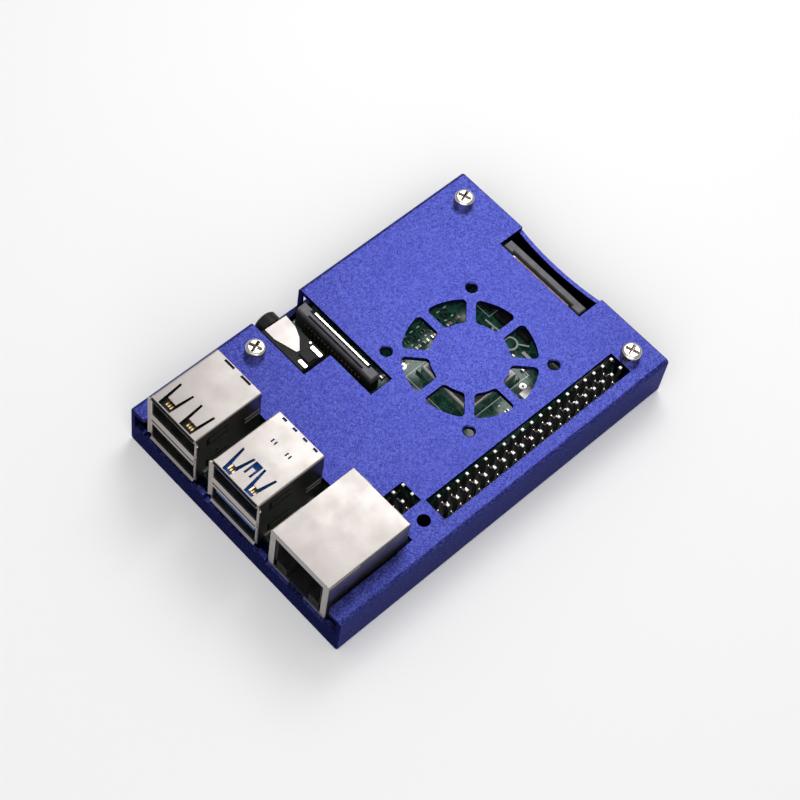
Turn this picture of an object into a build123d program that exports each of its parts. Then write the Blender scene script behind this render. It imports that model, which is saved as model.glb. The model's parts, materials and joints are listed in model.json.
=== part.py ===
from build123d import *
import os

os.makedirs("parts", exist_ok=True)

# Single board computer in a two-part milled aluminium case. Millimetres.
# Origin: centre of the case's underside. +X points to the end with the USB and network
# ports, +Y to the long side with the double-row pin header, +Z up.

# ---------------------------------------------------------------- driving dimensions

# Circuit board
board_length = 85.0
board_width = 56.0
board_thickness = 1.4
board_corner_radius = 3.0
board_hole_radius = 1.375
board_hole_inset = 3.5
board_hole_pitch_x = 58.0
board_hole_pitch_y = 49.0

# Case: a tray below the rim plane, a cover above it, held by screws through the board
case_wall = 1.2
cut_overrun = 1.0
edge_tolerance = 0.01
case_plate = 1.2
case_floor = 1.5
case_end_edge_radius = 0.25
case_top_edge_radius = 0.9
case_bottom_edge_radius = 0.8
closed_end_gap = 2.0
port_end_gap = 3.4
side_gap = 2.5
standoff_height = 2.6
standoff_radius = 3.0
rim_drop = 0.4
cover_rise = 6.1
cover_boss_radius = 2.4
cover_hole_radius = 1.4
tapped_hole_radius = 1.2
tapped_hole_depth = 3.4
port_wall_thickness = 1.0
port_wall_rise = 1.4
port_notch_gap = 0.35
port_notch_drop = 0.15
port_bump_rounding = 0.2
fit_clearance = 0.1

# Cover openings, in board coordinates
header_slot_gap = 0.7
header_slot_shift = 0.4
header_slot_inner = 3.0
header_slot_outer = 2.6
small_slot_half = 2.65
display_slot_start = 15.8
display_slot_end = 39.2
display_slot_depth = 4.8
scoop_depth = 1.0
scoop_overhang = 0.2
rim_strip_thickness = 0.9
rim_strip_drop = 1.0
camera_slot_left = 44.5
camera_slot_right = 50.3
camera_slot_end = 25.45
jack_slot_right = 57.4
jack_slot_end = 13.5
port_slot_gap = 0.8
port_slot_side = 0.45
ethernet_slot_gap = 1.1
ethernet_slot_side = 0.7
arm_tip_radius = 1.2
side_port_rise = 3.9
side_port_gap = 1.3

# Fan seat in the cover
vent_x = 29.0
vent_y = 31.9
vent_outer_radius = 14.05
vent_inner_radius = 8.3
vent_spoke_width = 1.9
vent_corner_radius = 1.0
vent_petals = 8
fan_hole_pitch = 24.0
fan_hole_radius = 1.15
fan_sink_radius = 1.4

# Screws
screw_head_radius = 2.15
screw_head_height = 2.4
screw_head_rounding = 0.7
screw_shank_radius = 1.15
screw_engagement = 2.8
cross_width = 0.75
cross_length = 2.9
cross_depth = 1.3
cross_turn = 20.0
cross_taper = 12.0

# Double USB sockets
usb_width = 13.1
usb_top = 16.0
usb_bottom = 0.45
usb_length = 16.5
usb_sheet = 0.35
usb_front_overhang = 2.4
usb2_y = 9.0
usb3_y = 27.0
usb_band_low = 6.6
usb_band_high = 9.4
usb_flange = 0.65
usb_flange_end = 1.3
usb_lip_reach = 0.45
usb_lip_drop = 0.9
usb_top_lip_drop = 0.55
usb_tongue_width = 11.1
usb_tongue_thickness = 1.9
usb_tongue_drop = 0.9
usb_tongue_recess = 0.6
usb_back_block = 5.0
usb_tab_offset = 3.05
usb2_tab_halves = (1.63, 2.05)
usb3_tab_halves = (1.05, 1.8)
usb_window_margin = 0.15
usb_window_length = 2.1
usb_slit_length = 5.9
usb_slit_width = 0.5
usb_middle_window = (1.5, 1.9)
usb_middle_slit = (3.4, 0.5)
usb_dimple_slit = (0.9, 0.35)
usb_dimple_pitch = 0.85
usb_dimple_place = (5.2, 2.0)
usb_rear_slot_reach = 0.55
usb_rear_slot_drop = 0.8
usb2_rear_slots = (2, 4.7, 2.7)
usb3_rear_slots = (4, 2.9, 1.1)
usb_blade_width = 1.0
usb_blade_pitch = 2.3
usb_blade_thickness = 0.2
usb_blade_recess = 2.5
usb_finger = (1.3, 0.35, 0.25)
usb_finger_pitch = 0.6

# Network socket
ethernet_width = 15.9
ethernet_length = 20.8
ethernet_height = 13.4
ethernet_sheet = 0.3
ethernet_front_overhang = 2.9
ethernet_from_back = 10.25
ethernet_frame_side = 1.35
ethernet_frame_top = 1.6
ethernet_frame_bottom = 1.0
ethernet_lip_gap = 4.2
jack_mouth_width = 11.9
jack_mouth_height = 7.2
jack_mouth_depth = 13.0
jack_latch_width = 6.2
jack_latch_height = 2.6
wire_pitch = 1.02
wire_size = 0.35
wire_drop = 2.2
wire_count = 8
wire_front = 3.0

# Audio jack
audio_x = 53.9
audio_width = 6.6
audio_start = 0.2
audio_end = 12.4
audio_height = 5.6
audio_barrel_radius = 2.8
audio_bore_radius = 1.75
audio_bore_depth = 12.0
audio_axis_lift = 0.1
audio_edge = 0.3
audio_sheet = 0.2
audio_tab_width = 0.85
# Outline of the spring plate and the solder tabs, from the jack's centre line and the board's front.
audio_plate_outline = (
    (-3.1, 0.7),
    (2.4, 0.5),
    (2.4, 3.4),
    (1.0, 8.4),
    (0.3, 8.6),
    (-1.7, 6.3),
    (-2.8, 3.9),
)
audio_tab_places = ((1.85, 11.3, 2.2), (-2.15, 10.9, 3.0))
audio_dot_places = ((0.5, 9.6), (-2.6, 8.6))
audio_dot_radius = 0.25

# Flat cable connectors
cable_length = 22.0
cable_body_width = 2.7
cable_body_height = 3.5
cable_spine_width = 0.5
cable_spine_height = 4.3
cable_foot = (0.3, 0.6)
cable_foot_height = 3.1
cable_lock_top = 5.5
cable_lock_height = 1.9
cable_lock_inset = 0.35
cable_bar_width = 1.4
cable_end_width = 2.1
cable_end_length = 2.3
cable_lock_edge = 0.15
cable_slit = 0.5
cable_slit_floor = 1.0
cable_slit_place = 0.5
cable_contact_width = 0.4
cable_contact_reach = 0.35
cable_contact_top = 4.9
camera_x = 46.55
camera_y = 11.6
display_x = 2.85
display_y = 27.4
contact_pitch = 1.0
contact_count = 15

# Pin headers
pin_pitch = 2.54
pin_size = 0.64
pin_columns = 20
pin_top = 8.5
pin_tail = 1.6
pin_tip = 0.18
pin_board_hole = 0.5
header_body_height = 2.5
small_header_x = 61.5
small_header_from_back = 9.7
pin_join = 0.001

# Side ports
power_x = 11.2
power_width = 8.94
power_height = 3.2
power_depth = 7.35
power_overhang = 1.2
video_x = (26.0, 39.5)
video_width = 6.5
video_height = 3.0
video_depth = 7.5
video_overhang = 1.0
side_port_sheet = 0.3
side_port_tongue_gap = 1.1
side_port_tongue_recess = 0.8
power_rounding = 1.5
video_rounding = 0.8

# Chips: centre on the board, then length, width and height
package_edge = 0.1
processor_place = (29.25, 32.5)
substrate_side = 15.0
substrate_height = 0.9
lid_side = 13.6
lid_height = 1.5
lid_edge = 0.45
memory_place = (45.8, 32.5)
memory_size = (10.0, 13.6, 1.1)
wireless_place = (8.8, 44.0)
wireless_size = (11.4, 9.6, 1.7)
wireless_edge = 0.3
manager_place = (12.6, 21.8)
manager_size = (5.0, 5.0, 0.9)
controller_place = (58.2, 30.0)
controller_size = (8.0, 8.0, 0.9)
network_place = (58.2, 38.6)
network_size = (6.6, 6.6, 0.9)

# Small parts: places or rows (first place, step and count), then length, width and height
inductor_places = ((12.6, 33.2), (13.4, 27.4), (9.0, 14.5), (15.5, 14.5))
inductor_size = (3.6, 3.6, 1.6)
inductor_edge = 0.3
crystal_places = ((37.5, 44.5), (23.0, 43.6))
crystal_size = (3.2, 2.5, 0.8)
crystal_edge = 0.15
capacitor_rows = (
    (21.5, 21.2, 2.2, 0.0, 8),
    (39.0, 21.6, 1.9, 0.0, 3),
    (52.6, 30.0, 0.0, 2.2, 6),
    (19.3, 33.4, 0.0, 1.8, 4),
)
capacitor_size = (1.2, 0.7, 0.6)
capacitor_edge = 0.08
resistor_rows = (
    (22.5, 18.9, 2.2, 0.0, 7),
    (29.0, 43.6, 1.9, 0.0, 4),
    (59.8, 21.4, 1.9, 0.0, 4),
    (21.5, 46.6, 1.6, 0.0, 6),
)
resistor_size = (0.9, 0.55, 0.35)
resistor_edge = 0.05
lamp_places = ((1.6, 8.2), (1.6, 11.0))
lamp_size = (1.6, 0.8, 0.6)
lamp_edge = 0.1

# Memory card and its socket, under the closed end
card_from_front = 28.0
card_width = 11.0
card_length = 15.0
card_thickness = 0.8
card_overhang = 1.9
card_drop = 0.45
card_clearance = 0.1
card_socket_length = 12.6
card_socket_sheet = 0.25
card_socket_inset = 1.2
card_slot_margin = 1.0
card_rail = 1.5
card_shoulder = 1.3
card_shoulder_start = 5.0
card_corner_radius = 0.6
thumb_cut_radius = 6.6

# ---------------------------------------------------------------- derived places

case_length = closed_end_gap + board_length + port_end_gap
case_width = board_width + 2 * side_gap
case_left = -case_length / 2
case_right = case_length / 2
board_bottom = case_floor + standoff_height
board_top = board_bottom + board_thickness
rim_z = board_top - rim_drop
case_top = board_top + cover_rise
inner_width = case_width - 2 * case_wall
board_left = case_left + closed_end_gap
board_right = board_left + board_length
board_front = -board_width / 2
board_back = board_width / 2

header_x = board_left + board_hole_inset + board_hole_pitch_x / 2
header_y = board_back - board_hole_inset
usb_front = board_right + usb_front_overhang
ethernet_front = board_right + ethernet_front_overhang
ethernet_y = board_back - ethernet_from_back
small_header_y = board_back - small_header_from_back

screw_left = board_left + board_hole_inset
screw_front = board_front + board_hole_inset
screw_places = [
    (screw_left + i * board_hole_pitch_x, screw_front + j * board_hole_pitch_y)
    for i in (0, 1)
    for j in (0, 1)
]
# Three screws hold the cover; the corner between the header and the network socket is empty.
fitted_screws = screw_places[:3]


def board_place(x, y):
    """A place on the board, from its closed-end front corner."""
    return (board_left + x, board_front + y)


def keep(node, piece):
    """Names a finished piece and writes it out."""
    piece.part.label = node
    export_step(piece.part, "parts/" + node + ".step")


def end_edges(case_half, low, high):
    """The edges around the two end faces of a case half, with their middles between two heights."""
    edges = case_half.edges().filter_by_position(Axis.Z, low, high)
    far = edges.filter_by_position(Axis.X, case_left - edge_tolerance, case_left + edge_tolerance)
    near = edges.filter_by_position(Axis.X, case_right - edge_tolerance, case_right + edge_tolerance)
    return far + near


# ---------------------------------------------------------------- case

scoop_half_chord = (display_slot_end - display_slot_start) / 2 + scoop_overhang
scoop_radius = (scoop_half_chord**2 + scoop_depth**2) / (2 * scoop_depth)
scoop_centre = (
    case_left + scoop_depth - scoop_radius,
    board_front + (display_slot_start + display_slot_end) / 2,
)
display_slot_length = display_slot_end - display_slot_start
card_top = board_bottom - card_drop
card_y = board_front + card_from_front

with BuildPart() as base_shell:
    with BuildSketch():
        Rectangle(case_length, case_width)
    extrude(amount=rim_z)
    fillet(base_shell.edges().filter_by(Axis.X).group_by(Axis.Z)[0], case_bottom_edge_radius)
    fillet(end_edges(base_shell, 0, rim_z - edge_tolerance), case_end_edge_radius)
    with BuildSketch(Plane.XY.offset(case_floor)):
        Rectangle(case_length - case_wall - port_wall_thickness, inner_width)
    extrude(amount=rim_z, mode=Mode.SUBTRACT)
    # The port end stands above the rim between the cover's two side walls.
    with BuildSketch(Plane.XY.offset(rim_z)):
        with Locations((case_right - port_wall_thickness / 2, 0)):
            Rectangle(port_wall_thickness, inner_width - 2 * fit_clearance)
    extrude(amount=port_wall_rise)
    with BuildSketch(Plane.YZ.offset(case_right)):
        for socket_y, socket_width in (
            (board_front + usb2_y, usb_width + 2 * usb_flange),
            (board_front + usb3_y, usb_width + 2 * usb_flange),
            (ethernet_y, ethernet_width),
        ):
            with Locations((socket_y, board_top - port_notch_drop + port_wall_rise)):
                Rectangle(socket_width + 2 * port_notch_gap, 2 * port_wall_rise)
    extrude(amount=-port_wall_thickness, mode=Mode.SUBTRACT)
    # The bumps left between the notches are rounded by a share of the narrowest one's width.
    bump_width = usb3_y - usb2_y - usb_width - 2 * usb_flange - 2 * port_notch_gap
    bump_edges = base_shell.edges().filter_by(Axis.X).group_by(Axis.Z)[-1]
    fillet(bump_edges, port_bump_rounding * bump_width)
    # Finger scoop in the closed end, backed by a wall of even thickness.
    with BuildSketch(Plane.XY.offset(case_floor)):
        with Locations(scoop_centre):
            Circle(scoop_radius + rim_strip_thickness)
        with Locations((case_left + closed_end_gap / 2, scoop_centre[1])):
            Rectangle(closed_end_gap, display_slot_length, mode=Mode.INTERSECT)
    extrude(amount=rim_z - case_floor)
    with BuildSketch():
        with Locations(scoop_centre):
            Circle(scoop_radius)
    extrude(amount=rim_z, mode=Mode.SUBTRACT)
    # Card slot and thumb cut.
    with BuildSketch(Plane.XY.offset(case_floor)):
        with Locations((case_left, card_y)):
            Rectangle(2 * closed_end_gap, card_width + 2 * card_slot_margin)
    extrude(amount=standoff_height, mode=Mode.SUBTRACT)
    with BuildSketch():
        with Locations((case_left, card_y)):
            Circle(thumb_cut_radius)
    extrude(amount=case_floor, mode=Mode.SUBTRACT)
    with BuildSketch(Plane.XY.offset(case_floor)):
        with Locations(*screw_places):
            Circle(standoff_radius)
    extrude(amount=standoff_height)
    with Locations(*[(x, y, board_bottom) for x, y in screw_places]):
        Hole(tapped_hole_radius, depth=tapped_hole_depth)
keep("base_shell", base_shell)

with BuildPart() as top_cover:
    with BuildSketch(Plane.XY.offset(rim_z)):
        Rectangle(case_length, case_width)
    extrude(amount=case_top - rim_z)
    fillet(top_cover.edges().filter_by(Axis.X).group_by(Axis.Z)[-1], case_top_edge_radius)
    fillet(end_edges(top_cover, rim_z + edge_tolerance, case_top), case_end_edge_radius)
    with BuildSketch(Plane.YZ.offset(case_left + case_wall)) as hollow_profile:
        with Locations((0, rim_z)):
            Rectangle(inner_width, 2 * (case_top - case_plate - rim_z))
        fillet(hollow_profile.vertices().group_by(Axis.Z)[-1], case_top_edge_radius / 2)
    extrude(amount=case_length, mode=Mode.SUBTRACT)
    # Even wall behind the finger scoop.
    with BuildSketch(Plane.XY.offset(rim_z)):
        with Locations(scoop_centre):
            Circle(scoop_radius + rim_strip_thickness)
        with Locations((case_left + closed_end_gap / 2, scoop_centre[1])):
            Rectangle(closed_end_gap, display_slot_length, mode=Mode.INTERSECT)
    extrude(amount=case_top - rim_z)
    with BuildSketch(Plane.XY.offset(rim_z)):
        with Locations(scoop_centre):
            Circle(scoop_radius)
    extrude(amount=cover_rise + rim_drop, mode=Mode.SUBTRACT)
    # Display cable slot, open down to the board, with its outer strip milled lower.
    with BuildSketch(Plane.XY.offset(rim_z)):
        with Locations((board_left + display_slot_depth / 2, scoop_centre[1])):
            Rectangle(display_slot_depth + 2 * closed_end_gap, display_slot_length)
        with Locations((board_left + display_slot_depth + closed_end_gap, scoop_centre[1])):
            Rectangle(2 * closed_end_gap, display_slot_length, mode=Mode.SUBTRACT)
        with Locations(scoop_centre):
            Circle(scoop_radius + rim_strip_thickness, mode=Mode.SUBTRACT)
    extrude(amount=cover_rise + rim_drop, mode=Mode.SUBTRACT)
    with BuildSketch(Plane.XY.offset(case_top - rim_strip_drop)):
        with Locations((case_left + closed_end_gap / 2, scoop_centre[1])):
            Rectangle(closed_end_gap, display_slot_length)
    extrude(amount=2 * rim_strip_drop, mode=Mode.SUBTRACT)
    # Screw bosses, which rest on the board.
    with BuildSketch(Plane.XY.offset(board_top)):
        with Locations(*screw_places):
            Circle(cover_boss_radius)
    extrude(amount=cover_rise - case_plate / 2)
    with Locations(*[(x, y, case_top) for x, y in screw_places]):
        Hole(cover_hole_radius, depth=cover_rise + rim_drop)
    # Openings over the headers, the camera connector, the audio jack and the end sockets.
    with BuildSketch(Plane.XY.offset(rim_z)):
        slot_middle = header_y + (header_slot_outer - header_slot_inner) / 2
        with Locations((header_x - header_slot_shift, slot_middle)):
            Rectangle(pin_columns * pin_pitch + 2 * header_slot_gap, header_slot_outer + header_slot_inner)
        with Locations((small_header_x + board_left, small_header_y)):
            Rectangle(2 * small_slot_half, 2 * small_slot_half)
        camera_slot_width = camera_slot_right - camera_slot_left
        camera_slot_centre = (camera_slot_left + camera_slot_right) / 2
        with Locations(board_place(camera_slot_centre, (camera_slot_end - 2 * side_gap) / 2)):
            Rectangle(camera_slot_width, camera_slot_end + 2 * side_gap)
        jack_slot_centre = (camera_slot_left + jack_slot_right) / 2
        with Locations(board_place(jack_slot_centre, (jack_slot_end - 2 * side_gap) / 2)):
            Rectangle(jack_slot_right - camera_slot_left, jack_slot_end + 2 * side_gap)
        usb_rear = usb_front - usb_length - port_slot_gap
        usb_slot_front = board_front + usb2_y - usb_width / 2 - usb_flange - port_slot_side / 2
        usb_slot_back = ethernet_y + ethernet_width / 2 + ethernet_slot_side
        usb_slot_centre = ((usb_rear + case_right + cut_overrun) / 2, (usb_slot_front + usb_slot_back) / 2)
        with Locations(usb_slot_centre):
            Rectangle(case_right + cut_overrun - usb_rear, usb_slot_back - usb_slot_front)
        ethernet_rear = ethernet_front - ethernet_length - ethernet_slot_gap
        with Locations(((ethernet_rear + case_right) / 2, ethernet_y)):
            Rectangle(case_right - ethernet_rear, ethernet_width + 2 * port_slot_side)
    extrude(amount=cover_rise + rim_drop, mode=Mode.SUBTRACT)
    # Plug openings in the front wall.
    with BuildSketch(Plane.XZ.offset(-board_front)):
        for port_x, port_width in (
            (power_x, power_width),
            (video_x[0], video_width),
            (video_x[1], video_width),
        ):
            with Locations((board_left + port_x, board_top)):
                Rectangle(port_width + 2 * side_port_gap, 2 * side_port_rise)
    extrude(amount=2 * side_gap, mode=Mode.SUBTRACT)
    # Fan seat: a ring of petals around a hub, and four screw holes.
    with BuildSketch(Plane.XY.offset(case_top)) as vents:
        with Locations(board_place(vent_x, vent_y)):
            Circle(vent_outer_radius)
            Circle(vent_inner_radius, mode=Mode.SUBTRACT)
            with PolarLocations(vent_outer_radius / 2, vent_petals):
                Rectangle(vent_outer_radius + cut_overrun, vent_spoke_width, mode=Mode.SUBTRACT)
        fillet(vents.vertices(), vent_corner_radius)
    extrude(amount=-2 * case_plate, mode=Mode.SUBTRACT)
    with Locations((*board_place(vent_x, vent_y), case_top)):
        with GridLocations(fan_hole_pitch, fan_hole_pitch, 2, 2):
            CounterSinkHole(fan_hole_radius, fan_sink_radius, depth=2 * case_plate)
    # Rounded tips of the two arms beside the end sockets.
    with BuildSketch(Plane.XY.offset(rim_z)):
        for arm_edge, side in ((usb_slot_front, -1), (usb_slot_back, 1)):
            with Locations((case_right - arm_tip_radius / 2, arm_edge + side * arm_tip_radius / 2)):
                Rectangle(arm_tip_radius, arm_tip_radius)
            with Locations((case_right - arm_tip_radius, arm_edge + side * arm_tip_radius)):
                Circle(arm_tip_radius, mode=Mode.SUBTRACT)
    extrude(amount=cover_rise + rim_drop, mode=Mode.SUBTRACT)
keep("top_cover", top_cover)

with BuildPart() as case_screws:
    with BuildSketch(Plane.XY.offset(case_top)):
        with Locations(*fitted_screws):
            Circle(screw_head_radius)
    extrude(amount=screw_head_height)
    crowns = case_screws.edges().filter_by(GeomType.CIRCLE).group_by(Axis.Z)[-1]
    fillet(crowns, screw_head_rounding)
    with BuildSketch(Plane.XY.offset(case_top)):
        with Locations(*fitted_screws):
            Circle(screw_shank_radius)
    extrude(amount=-(cover_rise + board_thickness + screw_engagement))
    with BuildSketch(Plane.XY.offset(case_top + screw_head_height)):
        with Locations(*fitted_screws):
            Rectangle(cross_length, cross_width, rotation=cross_turn)
            Rectangle(cross_width, cross_length, rotation=cross_turn)
    extrude(amount=-cross_depth, taper=cross_taper, mode=Mode.SUBTRACT)
keep("case_screws", case_screws)

# ---------------------------------------------------------------- circuit board and pin headers

with BuildPart() as circuit_board:
    with BuildSketch(Plane.XY.offset(board_bottom)):
        with Locations(((board_left + board_right) / 2, 0)):
            RectangleRounded(board_length, board_width, board_corner_radius)
        with Locations(*screw_places):
            Circle(board_hole_radius, mode=Mode.SUBTRACT)
        with Locations((header_x, header_y)):
            with GridLocations(pin_pitch, pin_pitch, pin_columns, 2):
                Circle(pin_board_hole, mode=Mode.SUBTRACT)
        with Locations((board_left + small_header_x, small_header_y)):
            with GridLocations(pin_pitch, pin_pitch, 2, 2):
                Circle(pin_board_hole, mode=Mode.SUBTRACT)
    extrude(amount=board_thickness)
keep("circuit_board", circuit_board)


def pin_header(body_node, pins_node, x, y, columns):
    """A double-row header: one moulded strip and square pins with pointed tips."""
    with BuildPart() as strip:
        with BuildSketch(Plane.XY.offset(board_top)):
            with Locations((x, y)):
                with GridLocations(pin_pitch, pin_pitch, columns, 2):
                    RectangleRounded(pin_pitch + pin_join, pin_pitch + pin_join, pin_pitch / 8)
                with GridLocations(pin_pitch, pin_pitch, columns, 2):
                    Rectangle(pin_size, pin_size, mode=Mode.SUBTRACT)
        extrude(amount=header_body_height)
    keep(body_node, strip)
    with BuildPart() as pins:
        with BuildSketch(Plane.XY.offset(board_bottom - pin_tail)):
            with Locations((x, y)):
                with GridLocations(pin_pitch, pin_pitch, columns, 2):
                    Rectangle(pin_size, pin_size)
        extrude(amount=pin_tail + board_thickness + pin_top)
        tips = pins.faces().sort_by(Axis.Z).group_by(Axis.Z)[-1]
        chamfer(tips.edges(), pin_tip)
    keep(pins_node, pins)


pin_header("header_strip", "header_pins", header_x, header_y, pin_columns)
pin_header("small_header_strip", "small_header_pins", board_left + small_header_x, small_header_y, 2)

# ---------------------------------------------------------------- double USB sockets


def usb_socket(prefix, y, tab_halves, rear_slots, middle_tab):
    """A stacked pair of USB sockets: folded shell, moulded insert with two tongues, contacts.

    tab_halves are half the widths of a spring tab's window and of its root, rear_slots the
    count, pitch and length of the slots in the rear fold; middle_tab adds a third tab.
    """
    front = usb_front
    rear = usb_front - usb_length
    low = board_top + usb_bottom
    top = board_top + usb_top
    band_low = board_top + usb_band_low
    band_high = board_top + usb_band_high
    mouths = ((low + usb_sheet, band_low), (band_high, top - usb_sheet))
    inner = usb_width - 2 * usb_sheet
    cavity_depth = usb_length - usb_sheet
    band_middle = (band_low + band_high) / 2
    with BuildPart() as shell:
        with BuildSketch(Plane.YZ.offset(rear)):
            with Locations((y, (low + top) / 2)):
                RectangleRounded(usb_width, top - low, usb_sheet)
        extrude(amount=usb_length)
        for floor_z, roof_z in mouths:
            with BuildSketch(Plane.YZ.offset(front)):
                with Locations((y, (floor_z + roof_z) / 2)):
                    Rectangle(inner, roof_z - floor_z)
            extrude(amount=-cavity_depth, mode=Mode.SUBTRACT)
        # The band between the mouths is two sheets with a gap.
        with BuildSketch(Plane.YZ.offset(front)):
            with Locations((y, band_middle)):
                Rectangle(inner, band_high - band_low - 2 * usb_sheet)
        extrude(amount=-cavity_depth, mode=Mode.SUBTRACT)
        # Flared lips: upright at the sides, sloping at the top, the band and the bottom.
        with BuildSketch(Plane.XY.offset(low + usb_flange_end)):
            for side in (-1, 1):
                edge = y + side * usb_width / 2
                with BuildLine():
                    Polyline(
                        (front, edge),
                        (front - usb_sheet, edge),
                        (front + usb_flange / 2 - usb_sheet, edge + side * usb_flange),
                        (front + usb_flange / 2, edge + side * usb_flange),
                        close=True,
                    )
                make_face()
        extrude(amount=top - low - 2 * usb_flange_end)
        with BuildSketch(Plane.XZ.offset(-y)):
            for lip_z, lip_drop in (
                (top, usb_top_lip_drop),
                (band_high, usb_lip_drop),
                (band_middle, usb_lip_drop),
                (low + usb_sheet, usb_sheet),
            ):
                with BuildLine():
                    Polyline(
                        (front - usb_sheet, lip_z),
                        (front, lip_z),
                        (front + usb_lip_reach, lip_z - lip_drop),
                        (front + usb_lip_reach - usb_sheet, lip_z - lip_drop),
                        (front - usb_sheet, lip_z - usb_sheet),
                        close=True,
                    )
                make_face()
        extrude(amount=inner / 2 + usb_sheet / 2, both=True)
        # Spring tabs in the top sheet: a window at each tip and two slits behind it.
        with BuildSketch(Plane.XY.offset(top - 2 * usb_sheet)):
            window_front = front - usb_window_margin
            window_rear = window_front - usb_window_length
            slit_rear = window_front - usb_slit_length
            tab_half, half_rear = tab_halves
            half_tip = tab_half - usb_slit_width
            for offset in (-usb_tab_offset, usb_tab_offset):
                centre = y + offset
                with BuildLine():
                    Polyline(
                        (window_front, centre - tab_half),
                        (slit_rear, centre - half_rear),
                        (slit_rear, centre - half_rear + usb_slit_width),
                        (window_rear, centre - half_tip),
                        (window_rear, centre + half_tip),
                        (slit_rear, centre + half_rear - usb_slit_width),
                        (slit_rear, centre + half_rear),
                        (window_front, centre + tab_half),
                        close=True,
                    )
                make_face()
            if middle_tab:
                # Middle tab, pointing the other way, and two locating dimples behind.
                with Locations((slit_rear + usb_middle_window[0] / 2, y)):
                    Rectangle(*usb_middle_window)
                for side in (-1, 1):
                    slit_y = y + side * (usb_middle_window[1] - usb_middle_slit[1]) / 2
                    with Locations((slit_rear + usb_middle_slit[0] / 2, slit_y)):
                        Rectangle(*usb_middle_slit)
                    with Locations((rear + usb_dimple_place[0], y + side * usb_dimple_place[1])):
                        with GridLocations(usb_dimple_pitch, usb_dimple_pitch, 1, 2):
                            Rectangle(*usb_dimple_slit)
        extrude(amount=2 * usb_sheet, mode=Mode.SUBTRACT)
        # Slots just inside the rear fold.
        with BuildSketch(Plane.XY.offset(top - usb_rear_slot_drop)):
            slot_count, slot_pitch, slot_length = rear_slots
            with Locations((rear + (usb_sheet + usb_rear_slot_reach) / 2, y)):
                with GridLocations(slot_pitch, slot_pitch, 1, slot_count):
                    Rectangle(usb_rear_slot_reach, slot_length)
        extrude(amount=usb_rear_slot_drop, mode=Mode.SUBTRACT)
    keep(prefix + "_shell", shell)

    block_front = rear + usb_sheet + usb_back_block
    tongue_front = front - usb_tongue_recess
    blade_front = front - usb_blade_recess
    finger_length, finger_width, finger_height = usb_finger
    tongues = [roof_z - usb_tongue_drop - usb_tongue_thickness / 2 for floor_z, roof_z in mouths]
    with BuildPart() as insert:
        for floor_z, roof_z in mouths:
            with BuildSketch(Plane.YZ.offset(rear + usb_sheet)):
                with Locations((y, (floor_z + roof_z) / 2)):
                    Rectangle(inner, roof_z - floor_z)
            extrude(amount=usb_back_block)
        with BuildSketch(Plane.YZ.offset(block_front)):
            for tongue_z in tongues:
                with Locations((y, tongue_z)):
                    Rectangle(usb_tongue_width, usb_tongue_thickness)
        extrude(amount=tongue_front - block_front)
    keep(prefix + "_insert", insert)

    with BuildPart() as contacts:
        for tongue_z in tongues:
            # Flat blades under the tongue, and the spring fingers that show above it.
            with BuildSketch(Plane.XY.offset(tongue_z - usb_tongue_thickness / 2 - usb_blade_thickness)):
                with Locations(((block_front + blade_front) / 2, y)):
                    with GridLocations(usb_blade_pitch, usb_blade_pitch, 1, 4):
                        Rectangle(blade_front - block_front, usb_blade_width)
            extrude(amount=usb_blade_thickness)
            with BuildSketch(Plane.XY.offset(tongue_z + usb_tongue_thickness / 2)):
                for offset in (-usb_tab_offset, usb_tab_offset):
                    with Locations((tongue_front - finger_length, y + offset)):
                        with GridLocations(usb_finger_pitch, usb_finger_pitch, 1, 3):
                            Rectangle(finger_length, finger_width)
            extrude(amount=finger_height)
    keep(prefix + "_contacts", contacts)


usb_socket("usb2", board_front + usb2_y, usb2_tab_halves, usb2_rear_slots, False)
usb_socket("usb3", board_front + usb3_y, usb3_tab_halves, usb3_rear_slots, True)

# ---------------------------------------------------------------- network socket

ethernet_back = ethernet_front - ethernet_length
ethernet_inner = ethernet_width - 2 * ethernet_sheet

with BuildPart() as ethernet_shell:
    with BuildSketch(Plane.XY.offset(board_top)):
        with Locations((ethernet_front - ethernet_length / 2, ethernet_y)):
            Rectangle(ethernet_length, ethernet_width)
    extrude(amount=ethernet_height)
    fillet(ethernet_shell.edges().group_by(Axis.Z)[-1], ethernet_sheet / 2)
    with BuildSketch(Plane.XY.offset(board_top)):
        with Locations((ethernet_front - ethernet_length / 2, ethernet_y)):
            Rectangle(ethernet_length - 2 * ethernet_sheet, ethernet_inner)
    extrude(amount=ethernet_height - ethernet_sheet, mode=Mode.SUBTRACT)
    frame_height = ethernet_height - ethernet_frame_top - ethernet_frame_bottom
    with BuildSketch(Plane.YZ.offset(ethernet_front)):
        with Locations((ethernet_y, board_top + ethernet_frame_bottom + frame_height / 2)):
            Rectangle(ethernet_width - 2 * ethernet_frame_side, frame_height)
        # The bottom lip is open in the middle.
        with Locations((ethernet_y, board_top + ethernet_frame_bottom / 2)):
            Rectangle(ethernet_lip_gap, ethernet_frame_bottom)
    extrude(amount=-2 * ethernet_sheet, mode=Mode.SUBTRACT)
keep("ethernet_shell", ethernet_shell)

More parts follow.
